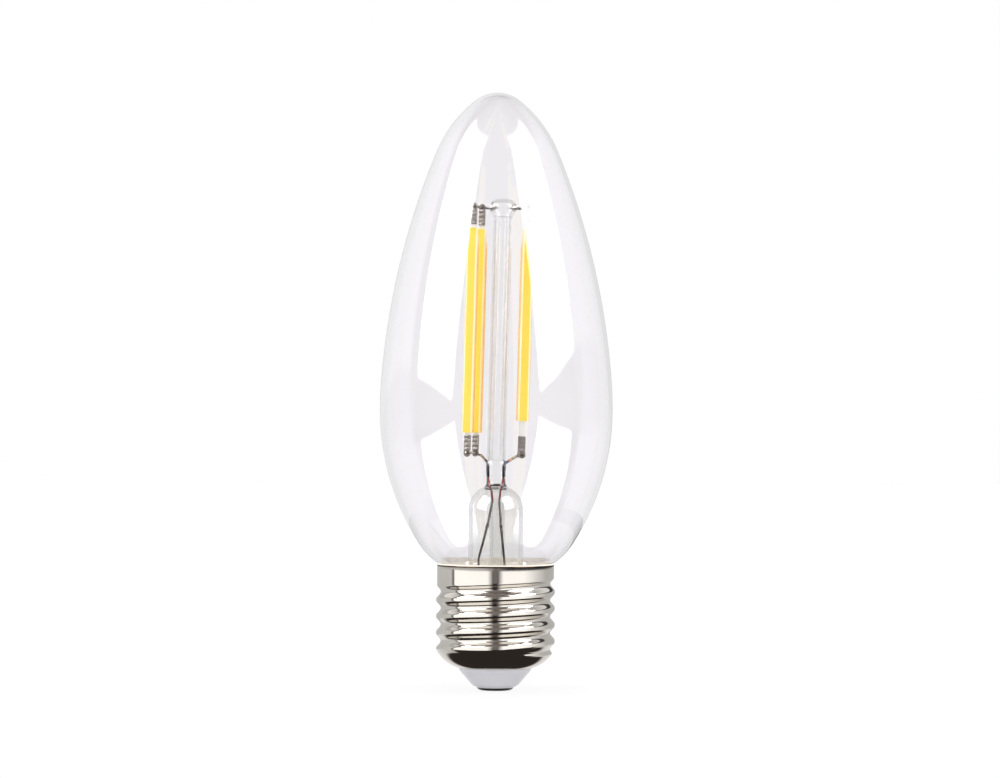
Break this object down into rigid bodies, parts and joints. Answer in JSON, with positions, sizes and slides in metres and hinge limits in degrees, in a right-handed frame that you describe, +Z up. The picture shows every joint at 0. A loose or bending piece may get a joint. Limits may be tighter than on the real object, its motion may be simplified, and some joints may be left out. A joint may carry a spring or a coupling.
{
  "type": "candle bulb",
  "caption": "Clear candle-shaped glass lamp with upright yellow filaments on a glass stem, over a polished screw cap with a white insulator and a centre contact.",
  "frame": {"origin": "middle of the flat face of the centre contact, at the bottom of the lamp", "axes": "+Z up the lamp's axis from the contact to the tip of the glass, -Y towards the viewer of the picture, +X to the viewer's right"},
  "size_m": [0.0516, 0.0516, 0.1324],
  "materials": {
    "clear_envelope_glass": "clear blown glass",
    "clear_stem_glass": "clear drawn and pressed glass",
    "polished_nickel_plate": "polished nickel plate on brass",
    "white_insulator": "glossy white moulding",
    "grey_contact_metal": "dull tinned metal",
    "pale_capping_cement": "pale baked cement",
    "nickel_wire": "drawn nickel wire",
    "dark_lead_wire": "oxidised lead wire",
    "red_seal_wire": "red oxidised copper sheath",
    "filament_tab_metal": "stamped plated metal",
    "white_strip_ceramic": "white ceramic strip",
    "yellow_phosphor_silicone": "glossy yellow phosphor silicone",
    "led_chip": "small clear chips",
    "board_laminate": "white solder mask",
    "capacitor_can": "drawn can",
    "black_chip_resin": "black moulding resin",
    "fuse_body": "coated ceramic body"
  },
  "bodies": {
    "root": {"bottom_tab_left_back": "filament_tab_metal", "bottom_tab_left_front": "filament_tab_metal", "bottom_tab_right_back": "filament_tab_metal", "bottom_tab_right_front": "filament_tab_metal", "bridge_rectifier": "black_chip_resin", "cap_insulator": "white_insulator", "cap_shell": "polished_nickel_plate", "capping_cement": "pale_capping_cement", "centre_contact": "grey_contact_metal", "driver_board": "board_laminate", "driver_chip": "black_chip_resin", "exhaust_tube": "clear_stem_glass", "filament_jacket_left_back": "yellow_phosphor_silicone", "filament_jacket_left_front": "yellow_phosphor_silicone", "filament_jacket_right_back": "yellow_phosphor_silicone", "filament_jacket_right_front": "yellow_phosphor_silicone", "filament_strip_left_back": "white_strip_ceramic", "filament_strip_left_front": "white_strip_ceramic", "filament_strip_right_back": "white_strip_ceramic", "filament_strip_right_front": "white_strip_ceramic", "fuse_resistor": "fuse_body", "glass_envelope": "clear_envelope_glass", "inner_lead_left": "nickel_wire", "inner_lead_right": "nickel_wire", "led_chips_left_back": "led_chip", "led_chips_left_front": "led_chip", "led_chips_right_back": "led_chip", "led_chips_right_front": "led_chip", "neutral_wire": "dark_lead_wire", "outer_lead_left": "dark_lead_wire", "outer_lead_right": "dark_lead_wire", "seal_wire_left": "red_seal_wire", "seal_wire_right": "red_seal_wire", "smoothing_capacitor": "capacitor_can", "stem_flare": "clear_stem_glass", "stem_pillar": "clear_stem_glass", "support_wire_left": "nickel_wire", "support_wire_right": "nickel_wire", "top_tab_left_back": "filament_tab_metal", "top_tab_left_front": "filament_tab_metal", "top_tab_right_back": "filament_tab_metal", "top_tab_right_front": "filament_tab_metal"}
  },
  "joints": []
}
